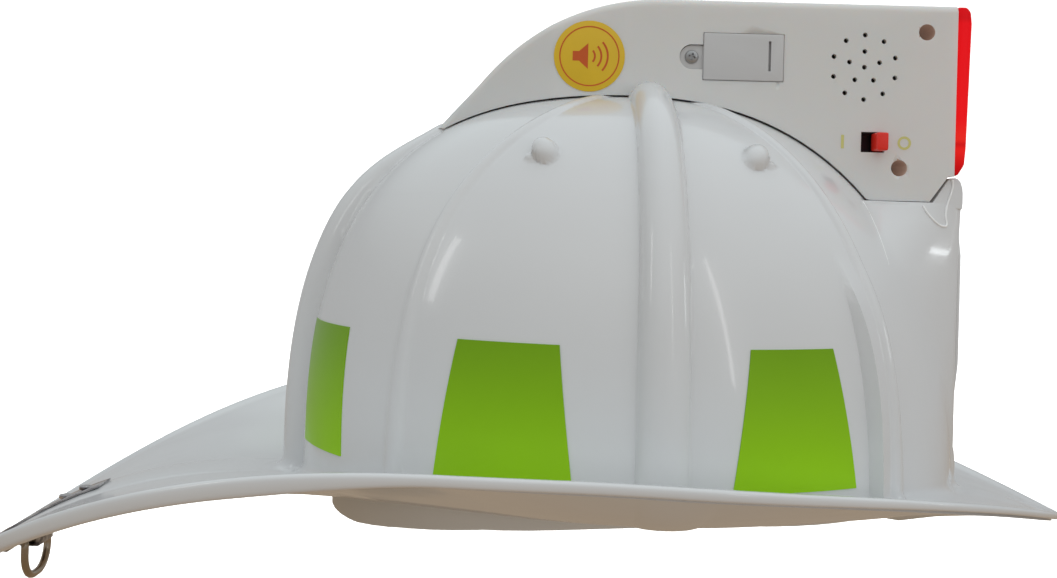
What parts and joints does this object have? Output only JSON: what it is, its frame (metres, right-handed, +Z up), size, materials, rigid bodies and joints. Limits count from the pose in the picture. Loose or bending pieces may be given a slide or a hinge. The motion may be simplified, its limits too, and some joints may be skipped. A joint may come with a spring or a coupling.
{
  "type": "firefighter helmet",
  "caption": "Child's firefighter helmet: ribbed white shell with swept brim, crown light and siren module, reflective patches, headband and hanging ring.",
  "frame": {"origin": "centre of the headband's opening, level with the rim beside the ears", "axes": "+X to the wearer's front, +Y to the wearer's left, +Z up through the crown"},
  "size_m": [0.3435, 0.2392, 0.1895],
  "materials": {
    "shell_white": "glossy moulded",
    "shield_white": "satin moulded",
    "reflector_lime": "satin reflective sheet",
    "module_white": "glossy moulded",
    "lens_red": "clear red moulded plastic",
    "screw_steel": "plated",
    "cell_steel": "satin",
    "contact_brass": "plated",
    "speaker_grey": "satin",
    "magnet_grey": "plated",
    "cone_black": "matt film",
    "board_green": "solder mask",
    "chip_black": "epoxy blob",
    "led_clear": "clear epoxy",
    "knob_red": "moulded",
    "sticker_yellow": "printed film",
    "lead_red": "insulated wire",
    "band_white": "satin moulded",
    "pad_black": "fabric-faced foam",
    "trim_white": "satin moulded",
    "clip_chrome": "polished"
  },
  "bodies": {
    "root": {"shell": "shell_white", "front_shield": "shield_white", "shield_cap": "shell_white", "reflector_rear_right": "reflector_lime", "reflector_side_rear_right": "reflector_lime", "reflector_side_front_right": "reflector_lime", "reflector_rear_left": "reflector_lime", "reflector_side_rear_left": "reflector_lime", "reflector_side_front_left": "reflector_lime", "module_half_right": "module_white", "module_half_left": "module_white", "lens": "lens_red", "button_cells": "cell_steel", "contact_plates": "contact_brass", "contact_spring": "screw_steel", "speaker_frame": "speaker_grey", "speaker_magnet": "magnet_grey", "speaker_cone": "cone_black", "circuit_board": "board_green", "sound_chip": "chip_black", "led_board": "board_green", "leds": "led_clear", "switch_body": "screw_steel", "housing_screws": "screw_steel", "mounting_screws": "screw_steel", "round_sticker": "sticker_yellow", "battery_wires": "lead_red", "speaker_wires": "lead_red", "led_wires": "lead_red", "headband_front": "band_white", "sweat_pad": "pad_black", "headband_clips": "trim_white", "crown_cradle": "band_white", "crown_button": "trim_white", "tip_clip": "clip_chrome", "tip_rivets": "clip_chrome"},
    "knob": {"switch_knob": "knob_red"},
    "door": {"battery_door": "module_white"},
    "screw": {"door_screw": "screw_steel"},
    "ring": {"hanging_ring": "clip_chrome"},
    "nape": {"nape_strap": "band_white"}
  },
  "joints": [
    {"name": "switch_slide", "type": "slide", "parent": "root", "child": "knob", "axis": [-1, 0, 0], "range_m": [0, 0.0033]},
    {"name": "battery_door_pull", "type": "slide", "parent": "root", "child": "door", "axis": [0, -1, 0], "range_m": [0, 0.02]},
    {"name": "door_screw_out", "type": "slide", "parent": "door", "child": "screw", "axis": [0, -1, 0], "range_m": [0, 0.003]},
    {"name": "ring_hinge", "type": "hinge", "parent": "root", "child": "ring", "pos_m": [-0.1915, 0, -0.0246], "axis": [0, 1, 0], "range_deg": [-75, 55]},
    {"name": "nape_adjust", "type": "slide", "parent": "root", "child": "nape", "axis": [1, 0, 0], "range_m": [0, 0.012]}
  ]
}
